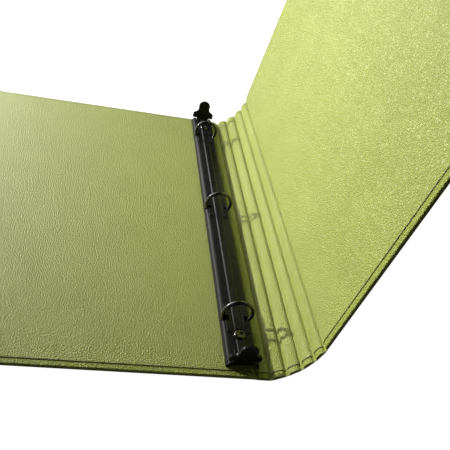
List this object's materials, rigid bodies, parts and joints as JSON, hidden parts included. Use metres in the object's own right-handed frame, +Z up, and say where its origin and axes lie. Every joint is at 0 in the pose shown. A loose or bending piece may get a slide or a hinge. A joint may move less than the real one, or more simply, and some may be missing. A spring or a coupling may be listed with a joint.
{
  "type": "ring binder",
  "caption": "Half-open ring binder: leatherette covers, rolling slatted spine, black housing with round rings and end triggers.",
  "frame": {"origin": "on the underside of the back cover, below the middle ring and the centre line of the ring housing", "axes": "+Z up from the table; +Y along the spine towards the far end of the housing; +X from the ring mechanism towards the front cover"},
  "size_m": [0.3169, 0.291, 0.2805],
  "materials": {
    "board": "matte greyboard",
    "outer_leatherette": "pebbled satin leatherette",
    "inner_leatherette": "pebbled satin leatherette",
    "housing_metal": "gloss black enamel",
    "ring_wire": "gloss black plating",
    "trigger_metal": "gloss black enamel",
    "rivet_metal": "polished dark nickel"
  },
  "bodies": {
    "back_cover": {"back_cover_board": "board", "back_cover_skin": "outer_leatherette", "back_cover_liner": "inner_leatherette", "slat_0_board": "board", "crease_1": "outer_leatherette", "ring_housing": "housing_metal", "rivets": "rivet_metal", "rivet_washers": "rivet_metal"},
    "slat_1": {"slat_1_board": "board", "slat_1_skin": "outer_leatherette", "slat_1_liner": "inner_leatherette", "crease_2": "outer_leatherette"},
    "slat_2": {"slat_2_board": "board", "slat_2_skin": "outer_leatherette", "slat_2_liner": "inner_leatherette", "crease_3": "outer_leatherette"},
    "slat_3": {"slat_3_board": "board", "slat_3_skin": "outer_leatherette", "slat_3_liner": "inner_leatherette", "crease_4": "outer_leatherette"},
    "slat_4": {"slat_4_board": "board", "slat_4_skin": "outer_leatherette", "slat_4_liner": "inner_leatherette", "crease_5": "outer_leatherette"},
    "front_cover": {"front_cover_board": "board", "front_cover_skin": "outer_leatherette", "front_cover_liner": "inner_leatherette"},
    "left_leaf": {"left_leaf": "housing_metal", "ring_far_left": "ring_wire", "ring_middle_left": "ring_wire", "ring_near_left": "ring_wire"},
    "right_leaf": {"right_leaf": "housing_metal", "ring_far_right": "ring_wire", "ring_middle_right": "ring_wire", "ring_near_right": "ring_wire"},
    "trigger_far": {"trigger_far": "trigger_metal"},
    "trigger_near": {"trigger_near": "trigger_metal"}
  },
  "joints": [
    {"name": "fold_1", "type": "hinge", "parent": "back_cover", "child": "slat_1", "pos_m": [0.01675, 0, 0.00035], "axis": [0, -1, 0], "range_deg": [-31, 36.23]},
    {"name": "fold_2", "type": "hinge", "parent": "slat_1", "child": "slat_2", "pos_m": [0.02468, 0, 0.00511], "axis": [0, -1, 0], "range_deg": [-12.5, 14.61]},
    {"name": "fold_3", "type": "hinge", "parent": "slat_2", "child": "slat_3", "pos_m": [0.03139, 0, 0.01148], "axis": [0, -1, 0], "range_deg": [-15.5, 18.11]},
    {"name": "fold_4", "type": "hinge", "parent": "slat_3", "child": "slat_4", "pos_m": [0.03615, 0, 0.01941], "axis": [0, -1, 0], "range_deg": [-12.5, 14.61]},
    {"name": "fold_5", "type": "hinge", "parent": "slat_4", "child": "front_cover", "pos_m": [0.03909, 0, 0.02818], "axis": [0, -1, 0], "range_deg": [-11.5, 13.44]},
    {"name": "left_leaf_swing", "type": "hinge", "parent": "back_cover", "child": "left_leaf", "pos_m": [-0.0075, 0, 0.0054], "axis": [0, 1, 0], "range_deg": [-16, 0]},
    {"name": "right_leaf_swing", "type": "hinge", "parent": "back_cover", "child": "right_leaf", "pos_m": [0.0075, 0, 0.0054], "axis": [0, -1, 0], "range_deg": [-16, 0]},
    {"name": "trigger_far_swing", "type": "hinge", "parent": "back_cover", "child": "trigger_far", "pos_m": [0, 0.1382, 0.0052], "axis": [1, 0, 0], "range_deg": [-26, 0]},
    {"name": "trigger_near_swing", "type": "hinge", "parent": "back_cover", "child": "trigger_near", "pos_m": [0, -0.1382, 0.0052], "axis": [-1, 0, 0], "range_deg": [-26, 0]}
  ],
  "couplings": [
    {"joint": "right_leaf_swing", "follows": "left_leaf_swing", "ratio": 1},
    {"joint": "trigger_far_swing", "follows": "left_leaf_swing", "ratio": 1.625},
    {"joint": "trigger_near_swing", "follows": "left_leaf_swing", "ratio": 1.625}
  ]
}
